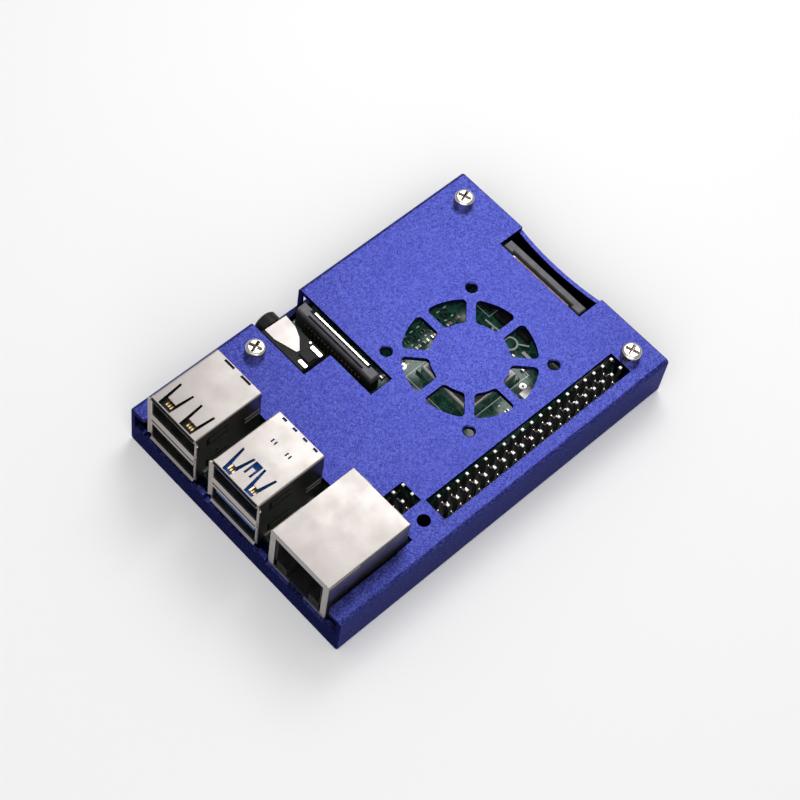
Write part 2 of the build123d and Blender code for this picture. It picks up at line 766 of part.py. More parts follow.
with BuildPart() as ethernet_insert:
    body_height = ethernet_height - ethernet_sheet
    with BuildSketch(Plane.XY.offset(board_top)):
        with Locations((ethernet_front - ethernet_length / 2, ethernet_y)):
            Rectangle(ethernet_length - 2 * ethernet_sheet, ethernet_inner)
    extrude(amount=body_height)
    mouth_front = ethernet_front - ethernet_sheet
    mouth_floor = board_top + ethernet_frame_bottom + jack_latch_height
    with BuildSketch(Plane.YZ.offset(mouth_front)):
        with Locations((ethernet_y, mouth_floor + jack_mouth_height / 2)):
            Rectangle(jack_mouth_width, jack_mouth_height)
        with Locations((ethernet_y, mouth_floor)):
            Rectangle(jack_latch_width, 2 * jack_latch_height)
    extrude(amount=-jack_mouth_depth, mode=Mode.SUBTRACT)
keep("ethernet_insert", ethernet_insert)

with BuildPart() as ethernet_contacts:
    wire_rear = mouth_front - jack_mouth_depth
    roof = mouth_floor + jack_mouth_height
    with BuildSketch(Plane.XZ.offset(-ethernet_y + (wire_count - 1) / 2 * wire_pitch)):
        with BuildLine():
            Polyline(
                (wire_rear, roof),
                (mouth_front - wire_front, roof),
                (mouth_front - wire_front, roof - wire_size),
                (wire_rear + wire_size, roof - wire_drop),
                (wire_rear, roof - wire_drop),
                close=True,
            )
        make_face()
    extrude(amount=wire_size)
    first_wire = ethernet_contacts.part
    with Locations(*[(0, step * wire_pitch, 0) for step in range(1, wire_count)]):
        add(first_wire)
keep("ethernet_contacts", ethernet_contacts)

# ---------------------------------------------------------------- audio jack

audio_y0 = board_front + audio_start
audio_y1 = board_front + audio_end
audio_axis_z = board_top + audio_height / 2 + audio_axis_lift
audio_centre_x = board_left + audio_x

with BuildPart() as audio_body:
    with BuildSketch(Plane.XY.offset(board_top)):
        with Locations((audio_centre_x, (audio_y0 + audio_y1) / 2)):
            Rectangle(audio_width, audio_y1 - audio_y0)
    extrude(amount=audio_height)
    chamfer(audio_body.edges().group_by(Axis.Z)[-1], audio_edge)
    with BuildSketch(Plane.XZ.offset(-audio_y0)):
        with Locations((audio_centre_x, audio_axis_z)):
            Circle(audio_barrel_radius)
    extrude(amount=side_gap + audio_start)
    chamfer(audio_body.edges().group_by(Axis.Y)[0], audio_edge)
    with BuildSketch(Plane.XZ.offset(-board_front + side_gap)):
        with Locations((audio_centre_x, audio_axis_z)):
            Circle(audio_bore_radius)
    extrude(amount=-audio_bore_depth, mode=Mode.SUBTRACT)
keep("audio_body", audio_body)

with BuildPart() as audio_plate:
    with BuildSketch(Plane.XY.offset(board_top + audio_height)):
        with BuildLine():
            Polyline(*[board_place(audio_x + x, y) for x, y in audio_plate_outline], close=True)
        make_face()
    extrude(amount=audio_sheet)
keep("audio_plate", audio_plate)

with BuildPart() as audio_tabs:
    with BuildSketch(Plane.XY.offset(board_top + audio_height)):
        for tab_x, tab_y, tab_length in audio_tab_places:
            with Locations(board_place(audio_x + tab_x, tab_y)):
                RectangleRounded(audio_tab_width, tab_length, audio_tab_width / 4)
        with Locations(*[board_place(audio_x + x, y) for x, y in audio_dot_places]):
            Circle(audio_dot_radius)
    extrude(amount=audio_sheet)
keep("audio_tabs", audio_tabs)

# ---------------------------------------------------------------- flat cable connectors


def cable_connector(prefix, x, y, side):
    """A flat cable connector: footed body, pull-up lock bar and a row of contacts.

    side is +1 where the solder feet face +X and the contacts face -X.
    """
    foot_face = x + side * cable_body_width / 2
    contact_face = x - side * cable_body_width / 2
    lock_face = foot_face - side * cable_lock_inset
    with BuildPart() as body:
        with BuildSketch(Plane.XY.offset(board_top)):
            with Locations((x, y)):
                Rectangle(cable_body_width, cable_length)
        extrude(amount=cable_body_height)
        with BuildSketch(Plane.XY.offset(board_top)):
            with Locations((foot_face - side * cable_lock_inset / 2, y)):
                Rectangle(cable_lock_inset, cable_length)
        extrude(amount=cable_spine_height)
        # Solder feet, standing up the face of the body.
        with BuildSketch(Plane.XY.offset(board_top)):
            with Locations((foot_face + side * cable_foot[0] / 2, y)):
                with GridLocations(contact_pitch, contact_pitch, 1, contact_count):
                    Rectangle(*cable_foot)
        extrude(amount=cable_foot_height)
        # Slit for the flat cable.
        with BuildSketch(Plane.XY.offset(board_top + cable_slit_floor)):
            with Locations((contact_face + side * (cable_slit_place + cable_slit / 2), y)):
                Rectangle(cable_slit, contact_pitch * (contact_count + 1))
        extrude(amount=cable_body_height, mode=Mode.SUBTRACT)
    keep(prefix + "_connector", body)
    with BuildPart() as lock:
        with BuildSketch(Plane.XY.offset(board_top + cable_lock_top - cable_lock_height)):
            with Locations((lock_face - side * cable_bar_width / 2, y)):
                Rectangle(cable_bar_width, cable_length)
            for end in (-1, 1):
                end_y = y + end * (cable_length - cable_end_length) / 2
                with Locations((lock_face - side * cable_end_width / 2, end_y)):
                    Rectangle(cable_end_width, cable_end_length)
        extrude(amount=cable_lock_height)
        chamfer(lock.edges().group_by(Axis.Z)[-1], cable_lock_edge)
    keep(prefix + "_lock", lock)
    with BuildPart() as contacts:
        with BuildSketch(Plane.XY.offset(board_top + cable_body_height)):
            with Locations((contact_face + side * cable_contact_width / 2, y)):
                Rectangle(cable_contact_width, contact_pitch * (contact_count + 1))
        extrude(amount=cable_contact_top - cable_body_height)
        # Fingers reaching from the strip towards the lock bar.
        with BuildSketch(Plane.XY.offset(board_top + cable_body_height)):
            with Locations((contact_face + side * (cable_contact_width + cable_contact_reach / 2), y)):
                with GridLocations(contact_pitch, contact_pitch, 1, contact_count):
                    Rectangle(cable_contact_reach, contact_pitch / 2)
        extrude(amount=cable_contact_reach)
    keep(prefix + "_contacts", contacts)


cable_connector("camera", board_left + camera_x, board_front + camera_y, 1)
cable_connector("display", board_left + display_x, board_front + display_y, -1)

# ---------------------------------------------------------------- side ports


def side_port(prefix, x, width, height, depth, overhang, rounding):
    """A low socket on the front edge: folded shell and a centre tongue."""
    front = board_front - overhang
    middle_z = board_top + height / 2
    with BuildPart() as shell:
        with BuildSketch(Plane.XZ.offset(-front)):
            with Locations((x, middle_z)):
                RectangleRounded(width, height, rounding)
        extrude(amount=-depth)
        with BuildSketch(Plane.XZ.offset(-front)):
            with Locations((x, middle_z)):
                RectangleRounded(
                    width - 2 * side_port_sheet,
                    height - 2 * side_port_sheet,
                    rounding - side_port_sheet,
                )
        extrude(amount=-(depth - side_port_sheet), mode=Mode.SUBTRACT)
    keep(prefix + "_shell", shell)
    with BuildPart() as tongue:
        with BuildSketch(Plane.XZ.offset(-(front + depth - side_port_sheet))):
            with Locations((x, middle_z)):
                Rectangle(width - 2 * side_port_tongue_gap, height / 4)
        extrude(amount=depth - side_port_sheet - side_port_tongue_recess)
    keep(prefix + "_tongue", tongue)


side_port(
    "power",
    board_left + power_x,
    power_width,
    power_height,
    power_depth,
    power_overhang,
    power_rounding,
)
for letter, centre in zip("ab", video_x):
    side_port(
        "video_" + letter,
        board_left + centre,
        video_width,
        video_height,
        video_depth,
        video_overhang,
        video_rounding,
    )

# ---------------------------------------------------------------- chips


def chip(node, x, y, length, width, height, lift=0.0, edge=package_edge):
    """A flat package on the board; x and y are board coordinates of its centre."""
    with BuildPart() as package:
        with BuildSketch(Plane.XY.offset(board_top + lift)):
            with Locations(board_place(x, y)):
                Rectangle(length, width)
        extrude(amount=height)
        chamfer(package.edges().group_by(Axis.Z)[-1], edge)
    keep(node, package)


chip("processor_substrate", *processor_place, substrate_side, substrate_side, substrate_height)
chip("processor_lid", *processor_place, lid_side, lid_side, lid_height, substrate_height, lid_edge)
chip("memory_chip", *memory_place, *memory_size)
chip("wireless_can", *wireless_place, *wireless_size, edge=wireless_edge)
chip("power_manager", *manager_place, *manager_size)
chip("usb_controller", *controller_place, *controller_size)
chip("network_chip", *network_place, *network_size)


def small_parts(node, places, length, width, height, edge):
    """A group of like small parts soldered on the board."""
    with BuildPart() as group:
        with BuildSketch(Plane.XY.offset(board_top)):
            with Locations(*[board_place(x, y) for x, y in places]):
                Rectangle(length, width)
        extrude(amount=height)
        chamfer(group.edges().group_by(Axis.Z)[-1], edge)
    keep(node, group)


def row(start_x, start_y, step_x, step_y, count):
    """Evenly spaced board places."""
    return [(start_x + i * step_x, start_y + i * step_y) for i in range(count)]


small_parts("inductors", inductor_places, *inductor_size, inductor_edge)
small_parts("crystals", crystal_places, *crystal_size, crystal_edge)
capacitor_places = [place for line in capacitor_rows for place in row(*line)]
small_parts("capacitors", capacitor_places, *capacitor_size, capacitor_edge)
resistor_places = [place for line in resistor_rows for place in row(*line)]
small_parts("resistors", resistor_places, *resistor_size, resistor_edge)
small_parts("status_lamps", lamp_places, *lamp_size, lamp_edge)

# ---------------------------------------------------------------- memory card and its socket

card_outer = board_left - card_overhang
socket_left = board_left + card_socket_inset
card_middle = card_outer + card_length / 2
socket_bottom = card_top - card_thickness - card_clearance - card_socket_sheet

with BuildPart() as card_socket:
    with BuildSketch(Plane.XY.offset(socket_bottom)):
        with Locations((socket_left + card_socket_length / 2, card_y)):
            Rectangle(card_socket_length, card_width + 2 * card_rail)
    extrude(amount=board_bottom - socket_bottom)
    # The card's way in, open at the outer end.
    with BuildSketch(Plane.XY.offset(socket_bottom + card_socket_sheet)):
        with Locations((card_middle + card_clearance, card_y)):
            Rectangle(card_length + 2 * card_clearance, card_width + 2 * card_clearance)
    extrude(amount=card_thickness + 2 * card_clearance, mode=Mode.SUBTRACT)
keep("card_socket", card_socket)

with BuildPart() as memory_card:
    card_inner = card_outer + card_length
    card_front = card_y - card_width / 2
    card_back = card_y + card_width / 2
    with BuildSketch(Plane.XY.offset(card_top - card_thickness)):
        with BuildLine():
            Polyline(
                (card_outer, card_front),
                (card_inner, card_front),
                (card_inner, card_back - card_shoulder),
                (card_inner - card_shoulder, card_back - card_shoulder),
                (card_inner - card_shoulder_start, card_back),
                (card_outer, card_back),
                close=True,
            )
        make_face()
    extrude(amount=card_thickness)
    fillet(memory_card.edges().filter_by(Axis.Z).group_by(Axis.X)[0], card_corner_radius)
keep("memory_card", memory_card)
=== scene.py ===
"""Looks of the single board computer: materials, small fitted details, floor, light and camera."""

import json
import math

import bmesh
import bpy
from mathutils import Matrix, Vector


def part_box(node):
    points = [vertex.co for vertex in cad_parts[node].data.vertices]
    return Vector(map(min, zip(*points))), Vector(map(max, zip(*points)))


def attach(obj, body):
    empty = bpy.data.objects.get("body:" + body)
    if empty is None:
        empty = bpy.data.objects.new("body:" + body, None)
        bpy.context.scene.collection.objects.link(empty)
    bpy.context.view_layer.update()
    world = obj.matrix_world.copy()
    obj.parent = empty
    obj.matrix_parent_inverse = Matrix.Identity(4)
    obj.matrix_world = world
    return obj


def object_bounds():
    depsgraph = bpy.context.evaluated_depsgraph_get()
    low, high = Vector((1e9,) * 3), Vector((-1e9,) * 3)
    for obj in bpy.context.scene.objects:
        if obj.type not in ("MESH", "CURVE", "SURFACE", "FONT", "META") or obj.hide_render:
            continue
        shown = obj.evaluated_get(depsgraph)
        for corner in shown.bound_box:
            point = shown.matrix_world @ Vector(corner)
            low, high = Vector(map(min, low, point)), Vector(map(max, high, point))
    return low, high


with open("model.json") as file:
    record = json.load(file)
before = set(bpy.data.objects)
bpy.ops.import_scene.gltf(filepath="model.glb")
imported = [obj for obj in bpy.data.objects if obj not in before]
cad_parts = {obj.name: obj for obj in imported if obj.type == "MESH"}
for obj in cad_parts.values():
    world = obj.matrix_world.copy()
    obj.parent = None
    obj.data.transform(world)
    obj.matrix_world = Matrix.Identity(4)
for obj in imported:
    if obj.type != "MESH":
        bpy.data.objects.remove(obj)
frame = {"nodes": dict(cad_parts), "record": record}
cad_low, cad_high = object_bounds()
nodes = frame["nodes"]
ROOT = "computer"
MM = 0.001
PRINT_THICKNESS = 0.02


def box(name):
    """The low and high corner of a node."""
    low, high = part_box(name)
    return Vector(low), Vector(high)


# ---------------------------------------------------------------- material helpers


def new_material(name, colour, metallic, roughness):
    """A Principled material; returns the material and a small graph builder for its detail."""
    material = bpy.data.materials.new(name)
    material.use_nodes = True
    shader = material.node_tree.nodes["Principled BSDF"]
    shader.inputs["Base Color"].default_value = (*colour, 1.0)
    shader.inputs["Metallic"].default_value = metallic
    shader.inputs["Roughness"].default_value = roughness
    return material, Graph(material.node_tree, shader)


class Graph:
    """Short forms for the shader nodes that every material here uses."""

    def __init__(self, tree, shader):
        self.tree = tree
        self.shader = shader
        self.place = tree.nodes.new("ShaderNodeTexCoord").outputs["Object"]

    def node(self, kind, inputs=None, **settings):
        made = self.tree.nodes.new(kind)
        for key, value in settings.items():
            setattr(made, key, value)
        for key, value in (inputs or {}).items():
            if isinstance(value, bpy.types.NodeSocket):
                self.tree.links.new(value, made.inputs[key])
            else:
                made.inputs[key].default_value = value
        return made

    def scaled_place(self, scale):
        return self.node("ShaderNodeMapping", {"Vector": self.place, "Scale": scale}).outputs[0]

    def noise(self, size, detail=2.0, roughness=0.5, place=None):
        """Noise whose features are about `size` metres across."""
        made = self.node(
            "ShaderNodeTexNoise",
            {
                "Vector": place or self.place,
                "Scale": 1.0 / size,
                "Detail": detail,
                "Roughness": roughness,
            },
        )
        return made.outputs["Fac"]

    def cells(self, size, output="Distance", **settings):
        """Voronoi cells about `size` metres across."""
        inputs = {"Vector": self.place, "Scale": 1.0 / size}
        return self.node("ShaderNodeTexVoronoi", inputs, **settings).outputs[output]

    def span(self, value, from_low, from_high, to_low, to_high):
        """Maps a value from one range to another, held at its ends."""
        made = self.node(
            "ShaderNodeMapRange",
            {
                "Value": value,
                "From Min": from_low,
                "From Max": from_high,
                "To Min": to_low,
                "To Max": to_high,
            },
        )
        return made.outputs["Result"]

    def math(self, operation, a, b=0.0):
        return self.node("ShaderNodeMath", {0: a, 1: b}, operation=operation).outputs[0]

    def mix(self, share, a, b):
        """A colour between a and b."""
        made = self.node("ShaderNodeMix", {"Factor": share}, data_type="RGBA")
        for socket, value in ((made.inputs[6], a), (made.inputs[7], b)):
            if isinstance(value, bpy.types.NodeSocket):
                self.tree.links.new(value, socket)
            else:
                socket.default_value = (*value, 1.0)
        return made.outputs[2]

    def colour(self, value):
        self.tree.links.new(value, self.shader.inputs["Base Color"])

    def roughness(self, value):
        self.tree.links.new(value, self.shader.inputs["Roughness"])

    def metallic(self, value):
        self.tree.links.new(value, self.shader.inputs["Metallic"])

    def bump(self, height, depth, strength):
        """Relief of a height from 0 to 1, `depth` metres deep."""
        inputs = {"Height": height, "Distance": depth, "Strength": strength}
        normal = self.node("ShaderNodeBump", inputs).outputs[0]
        self.tree.links.new(normal, self.shader.inputs["Normal"])


# ---------------------------------------------------------------- materials


def case_metal():
    """Bead-blasted aluminium, anodised violet-blue, with a sparkling grain.

    Real metal has one colour all over. Here the end and side faces are darkened by the way they face,
    to give the main view its contrast, and a dark line stands for the seam between the two halves.
    """
    dark_grain, light_grain = (0.0150, 0.018, 0.118), (0.057, 0.068, 0.320)
    sparkle, cloud = (0.118, 0.138, 0.50), (0.035, 0.038, 0.24)
    seam_dark, end_dark, side_dark = (0.004, 0.004, 0.012), (0.003, 0.0035, 0.011), (0.030, 0.030, 0.085)
    faces_away, faces_along = 0.6, 0.98
    seam_half_width, seam_fade = 0.05 * MM, 0.12 * MM

    material, graph = new_material("case_metal", (0.12, 0.135, 0.66), 0.96, 0.42)
    graph.shader.inputs["Specular Tint"].default_value = (0.40, 0.41, 0.56, 1.0)
    graph.shader.inputs["Specular IOR Level"].default_value = 0.1
    fine = graph.noise(0.24 * MM, 2.0, 0.6)
    grains = graph.cells(0.36 * MM, "Color")
    grain_value = graph.node("ShaderNodeSeparateColor", {"Color": grains}).outputs[0]
    broad = graph.noise(14 * MM, 3.0, 0.55)
    base = graph.mix(graph.span(fine, 0.35, 0.65, 0.0, 1.0), dark_grain, light_grain)
    base = graph.mix(graph.span(grain_value, 0.45, 1.0, 0.0, 0.6), base, sparkle)
    base = graph.mix(graph.span(broad, 0.35, 0.65, 0.0, 0.16), base, cloud)

    height = graph.node("ShaderNodeSeparateXYZ", {"Vector": graph.place}).outputs[2]
    from_seam = graph.math("ABSOLUTE", graph.math("SUBTRACT", height, box("top_cover")[0].z))
    base = graph.mix(graph.span(from_seam, seam_half_width, seam_fade, 0.85, 0.0), base, seam_dark)

    normal = graph.node("ShaderNodeTexCoord").outputs["Normal"]
    facing = graph.node("ShaderNodeSeparateXYZ", {"Vector": normal})
    for axis, share, dark in ((0, 0.86, end_dark), (1, 0.55, side_dark)):
        along = graph.math("ABSOLUTE", facing.outputs[axis])
        base = graph.mix(graph.span(along, faces_away, faces_along, 0.0, share), base, dark)
    graph.colour(base)
    graph.roughness(graph.span(grain_value, 0.0, 1.0, 0.26, 0.42))
    graph.bump(fine, 0.055 * MM, 1.0)
    return material


def socket_metal():
    """Nickel-plated pressed sheet: satin, with faint rolling lines and soft smudges."""
    material, graph = new_material("socket_metal", (0.58, 0.54, 0.51), 1.0, 0.30)
    clean, smudged = (0.396, 0.366, 0.350), (0.370, 0.341, 0.325)
    lines = graph.noise(0.35 * MM, 2.0, 0.5, graph.scaled_place((0.06, 1.0, 1.0)))
    smudge = graph.noise(4.5 * MM, 3.0, 0.6)
    base = graph.mix(graph.span(smudge, 0.35, 0.7, 0.0, 1.0), clean, smudged)
    graph.colour(base)
    graph.roughness(graph.span(smudge, 0.3, 0.7, 0.27, 0.36))
    graph.bump(lines, 0.006 * MM, 0.5)
    return material


def plain_metal(name, colour, low, high, grain, relief):
    """A plated metal with a fine grain and a roughness that wanders."""
    material, graph = new_material(name, colour, 1.0, low)
    cloud = graph.noise(grain * 9, 3.0, 0.6)
    fine = graph.noise(grain, 3.0, 0.6)
    darker = tuple(0.78 * part for part in colour)
    graph.colour(graph.mix(graph.span(cloud, 0.35, 0.7, 0.0, 1.0), colour, darker))
    graph.roughness(graph.span(cloud, 0.3, 0.7, low, high))
    graph.bump(fine, relief, 0.6)
    return material


def moulded(name, colour, roughness, grain=0.12 * MM, sheen=0.5):
    """Moulded plastic or resin: faint texture, slight mottling."""
    material, graph = new_material(name, colour, 0.0, roughness)
    graph.shader.inputs["Specular IOR Level"].default_value = sheen
    fine = graph.noise(grain, 3.0, 0.6)
    cloud = graph.noise(1.8 * MM, 3.0, 0.6)
    lighter = tuple(min(1.0, 1.5 * part + 0.008) for part in colour)
    graph.colour(graph.mix(graph.span(cloud, 0.35, 0.7, 0.0, 1.0), colour, lighter))
    graph.roughness(graph.span(fine, 0.3, 0.7, roughness - 0.08, roughness + 0.1))
    graph.bump(fine, 0.012 * MM, 0.7)
    return material


def board_laminate():
    """Solder mask over copper: dark green ground, lighter tracks, tinned vias, painted shade under the
    sockets.
    """
    mask, copper_under_mask = (0.009, 0.060, 0.040), (0.036, 0.17, 0.105)
    tinned_via, in_shade = (0.45, 0.42, 0.34), (0.003, 0.010, 0.007)
    shade_from, shade_full = 24 * MM, 28 * MM

    material, graph = new_material("board_laminate", (0.015, 0.10, 0.055), 0.0, 0.32)
    graph.shader.inputs["Coat Weight"].default_value = 0.35
    graph.shader.inputs["Coat Roughness"].default_value = 0.18
    tracks = graph.cells(2.1 * MM, "Distance", feature="DISTANCE_TO_EDGE")
    fine_tracks = graph.cells(0.85 * MM, "Distance", feature="DISTANCE_TO_EDGE")
    track = graph.math("LESS_THAN", tracks, 0.07)
    fine_track = graph.math("LESS_THAN", fine_tracks, 0.09)
    pour = graph.math("GREATER_THAN", graph.noise(5.0 * MM, 1.0), 0.55)
    either = graph.math("MAXIMUM", track, graph.math("MULTIPLY", fine_track, pour))
    base = graph.mix(either, mask, copper_under_mask)
    vias = graph.math("LESS_THAN", graph.cells(1.7 * MM), 0.085)
    base = graph.mix(vias, base, tinned_via)
    # Painted shade: the board darkens along x towards the sockets, standing for the shade they cast.
    along = graph.node("ShaderNodeSeparateXYZ", {"Vector": graph.place}).outputs[0]
    base = graph.mix(graph.span(along, shade_from, shade_full, 0.0, 0.9), base, in_shade)
    graph.colour(base)
    graph.metallic(graph.math("MULTIPLY", vias, 0.9))
    graph.roughness(graph.span(graph.noise(0.5 * MM), 0.3, 0.7, 0.25, 0.42))
    graph.bump(either, 0.02 * MM, 0.6)
    return material


slot_materials = {
    "case_metal": case_metal(),
    "screw_metal": plain_metal("screw_metal", (0.70, 0.66, 0.62), 0.14, 0.28, 0.10 * MM, 0.006 * MM),
    "socket_metal": socket_metal(),
    "lid_metal": plain_metal("lid_metal", (0.70, 0.66, 0.63), 0.40, 0.55, 0.12 * MM, 0.006 * MM),
    "pin_metal": plain_metal("pin_metal", (0.86, 0.83, 0.78), 0.20, 0.34, 0.08 * MM, 0.004 * MM),
    "contact_metal": plain_metal("contact_metal", (0.86, 0.62, 0.30), 0.22, 0.36, 0.08 * MM, 0.004 * MM),
    # Painted shade: bronze_metal is a darkened copy of the gold contact metal, for contacts that sit in
    # shade.
    "bronze_metal": plain_metal("bronze_metal", (0.16, 0.11, 0.07), 0.35, 0.5, 0.08 * MM, 0.004 * MM),
    "board_laminate": board_laminate(),
    "black_plastic": moulded("black_plastic", (0.004, 0.004, 0.005), 0.45, sheen=0.22),
    "dark_plastic": moulded("dark_plastic", (0.007, 0.007, 0.007), 0.50, sheen=0.25),
    "grey_plastic": moulded("grey_plastic", (0.085, 0.085, 0.095), 0.50),
    "blue_plastic": moulded("blue_plastic", (0.006, 0.060, 0.27), 0.40, sheen=0.3),
    "chip_resin": moulded("chip_resin", (0.008, 0.008, 0.009), 0.50, 0.08 * MM, sheen=0.3),
    "ferrite": moulded("ferrite", (0.006, 0.006, 0.007), 0.60, sheen=0.2),
    "ceramic": moulded("ceramic", (0.36, 0.25, 0.16), 0.40),
    "lamp_lens": moulded("lamp_lens", (0.75, 0.78, 0.62), 0.20),
}
# Painted shade: a darkened copy of the pin metal for the header pins' sides; their lit ends and shoulders
# are separate bright pieces.
pin_shaded_metal = plain_metal("pin_shaded_metal", (0.20, 0.19, 0.17), 0.30, 0.45, 0.08 * MM, 0.004 * MM)
node_materials = {"header_pins": pin_shaded_metal, "small_header_pins": pin_shaded_metal}
for part in frame["record"]["subparts"]:
    mesh = nodes[part["node"]].data
    mesh.materials.clear()
    mesh.materials.append(node_materials.get(part["node"], slot_materials[part["material_slot"]]))


# ---------------------------------------------------------------- fitted details


def add_piece(name, mesh_builder, material, body=ROOT, bevel=0.0):
    """A new piece from a bmesh filled by mesh_builder; it rides with a body."""
    mesh = bpy.data.meshes.new(name)
    work = bmesh.new()
    mesh_builder(work)
    bmesh.ops.recalc_face_normals(work, faces=work.faces)
    work.to_mesh(mesh)
    work.free()
    mesh.materials.append(material)
    piece = bpy.data.objects.new(name, mesh)
    bpy.context.scene.collection.objects.link(piece)
    if bevel:
        rounding = piece.modifiers.new("edges", "BEVEL")
        rounding.width = bevel
        rounding.segments = 2
        rounding.limit_method = "ANGLE"
    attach(piece, body)


def block(work, low, high):
    """A box between two corners, in metres."""
    corners = [
        work.verts.new((x, y, z))
        for x in (low[0], high[0])
        for y in (low[1], high[1])
        for z in (low[2], high[2])
    ]
    for ring in ((0, 1, 3, 2), (4, 6, 7, 5), (0, 4, 5, 1), (2, 3, 7, 6), (0, 2, 6, 4), (1, 5, 7, 3)):
        work.faces.new([corners[i] for i in ring])


def flat_strip(work, places, width, low, high, closed=False):
    """A strip of even width that follows a line of places, between two heights."""
    points = [Vector(place) for place in places]
    count = len(points)
    rims = []
    for i, point in enumerate(points):
        before = points[i - 1] if i or closed else point
        after = points[(i + 1) % count] if i + 1 < count or closed else point
        along = (after - before).normalized()
        across = Vector((-along.y, along.x)) * width / 2
        edges = [point - across, point + across]
        rims.append([work.verts.new((*edge, z)) for z in (low, high) for edge in edges])
    for i in range(count if closed else count - 1):
        a, b = rims[i], rims[(i + 1) % count]
        for p, q in ((0, 1), (1, 3), (3, 2), (2, 0)):
            work.faces.new((a[p], a[q], b[q], b[p]))
    if not closed:
        for rim in (rims[0], rims[-1]):
            work.faces.new((rim[0], rim[1], rim[3], rim[2]))


def islands(node):
    """The lowest and highest corner of each separate solid in a node's mesh."""
    work = bmesh.new()
    work.from_mesh(nodes[node].data)
    place = nodes[node].matrix_world
    left = set(work.verts)
    found = []
    while left:
        seed = [left.pop()]
        group = []
        while seed:
            vert = seed.pop()
            group.append(place @ vert.co)
            for edge in vert.link_edges:
                other = edge.other_vert(vert)
                if other in left:
                    left.remove(other)
                    seed.append(other)
        found.append((Vector(map(min, zip(*group))), Vector(map(max, zip(*group)))))
    work.free()
    return merge_touching(found)


def merge_touching(boxes):
    """Joins boxes that overlap, since a solid's faces may not share their corners."""
    joined = []
    for low, high in boxes:
        for other in joined:
            if all(low[i] <= other[1][i] + 1e-6 and high[i] >= other[0][i] - 1e-6 for i in range(3)):
                other[0][:] = map(min, zip(other[0], low))
                other[1][:] = map(max, zip(other[1], high))
                break
        else:
            joined.append((low.copy(), high.copy()))
    return joined if len(joined) == len(boxes) else merge_touching(joined)


board_low, board_high = box("circuit_board")


def at(x, y, z=0.0):
    """A place in board millimetres: from its closed-end front corner and its top face."""
    return Vector((board_low.x + x * MM, board_low.y + y * MM, board_high.z + z * MM))


def rectangle(low, high, grow_low, grow_high):
    """The corners of a box's outline, moved out at its low and its high side by (x, y) in millimetres."""
    x0, y0 = low.x - grow_low[0] * MM, low.y - grow_low[1] * MM
    x1, y1 = high.x + grow_high[0] * MM, high.y + grow_high[1] * MM
    return [(x0, y0), (x1, y0), (x1, y1), (x0, y1)]


def print_line(work, places, width, thickness=PRINT_THICKNESS, closed=False):
    """A line on the board's top face; width and thickness in millimetres."""
    flat_strip(work, places, width * MM, board_high.z, board_high.z + thickness * MM, closed)


silk_white = moulded("silk_white", (0.86, 0.88, 0.84), 0.55)
bright_blue = moulded("bright_blue", (0.004, 0.046, 0.20), 0.45, sheen=0.2)
# Painted highlight: a pale finish for the lit edge of the processor lid.
painted_highlight_pale = moulded("painted_highlight_pale", (0.84, 0.78, 0.72), 0.35)
tinned = plain_metal("tinned", (0.74, 0.72, 0.68), 0.26, 0.42, 0.10 * MM, 0.01 * MM)
# Painted highlight: a bright tin for lit pin ends, the lit edge of the wireless can and one lit contact
# end.
painted_highlight_tin = plain_metal("painted_highlight_tin", (0.95, 0.93, 0.90), 0.42, 0.55, 0.10 * MM, 0.008 * MM)
# Painted shade: a black for thin skins put where there is only shade.
painted_shade_black = moulded("painted_shade_black", (0.003, 0.003, 0.003), 0.6, sheen=0.1)


def end_caps(work):
    """Plated ends on every capacitor and resistor."""
    share_of_length, skin = 0.22, 0.015 * MM
    for node in ("capacitors", "resistors"):
        for low, high in islands(node):
            cap = share_of_length * (high.x - low.x)
            for left, right in ((low.x - skin, low.x + cap), (high.x - cap, high.x + skin)):
                block(work, (left, low.y - skin, low.z), (right, high.y + skin, high.z + skin))


def silk_outlines(work):
    """Printed outlines around the larger chips."""
    for node, margin in (
        ("memory_chip", 0.6),
        ("wireless_can", 0.5),
        ("power_manager", 0.7),
        ("usb_controller", 0.9),
        ("network_chip", 0.9),
    ):
        low, high = box(node)
        print_line(work, rectangle(low, high, (margin, margin), (margin, margin)), 0.16, closed=True)
    low, high = box("processor_substrate")
    print_line(work, rectangle(low, high, (2.3, 0.5), (2.3, 0.35)), 0.22, closed=True)


def ring(work, centre, radius, width, thickness=PRINT_THICKNESS):
    """A printed or plated ring on the board."""
    sides = 28
    places = [
        (
            centre.x + radius * MM * math.cos(math.tau * i / sides),
            centre.y + radius * MM * math.sin(math.tau * i / sides),
        )
        for i in range(sides)
    ]
    print_line(work, places, width, thickness, closed=True)


def silk_marks(work):
    """A plain target mark, a bar and rows of short dashes beside the small parts."""
    stroke_thickness = 0.018
    ring(work, at(17.0, 32.5), 1.5, 0.42)
    knot = at(16.7, 27.2).xy
    for end in (at(16.9, 25.0), at(18.6, 28.6), at(16.4, 31.1)):
        print_line(work, [knot, end.xy], 0.4, stroke_thickness)
    print_line(work, [at(15.9, 33.6).xy, at(14.4, 35.6).xy], 0.35, stroke_thickness)
    print_line(work, [at(16.45, 35.6).xy, at(16.45, 37.9).xy], 0.75)

    dashes, pitch, first = 9, 1.9, 21.0
    row_shift = 0.3
    for i in range(dashes):
        for y, shift, length in ((17.4, 0.0, 0.8), (19.9, row_shift, 0.5), (22.6, row_shift, 0.9)):
            start = at(first + pitch * i + shift, y)
            print_line(work, [start.xy, (start.x + length * MM, start.y)], 0.3)


def board_pads(work):
    """Tinned test pads and rings on the bare board."""
    for x, y in ((22.2, 41.5), (37.9, 22.3), (50.6, 27.6), (14.2, 19.0)):
        ring(work, at(x, y), radius=0.55, width=0.5, thickness=0.03)
    pad_height = 0.03
    for count, x, y, pitch, pad_length, pad_width in (
        (8, 22.1, 24.0, 1.55, 0.55, 0.35),
        (10, 60.0, 17.6, 0.9, 0.45, 0.9),
    ):
        for i in range(count):
            low = at(x + pitch * i, y)
            block(work, low, low + Vector((pad_length, pad_width, pad_height)) * MM)


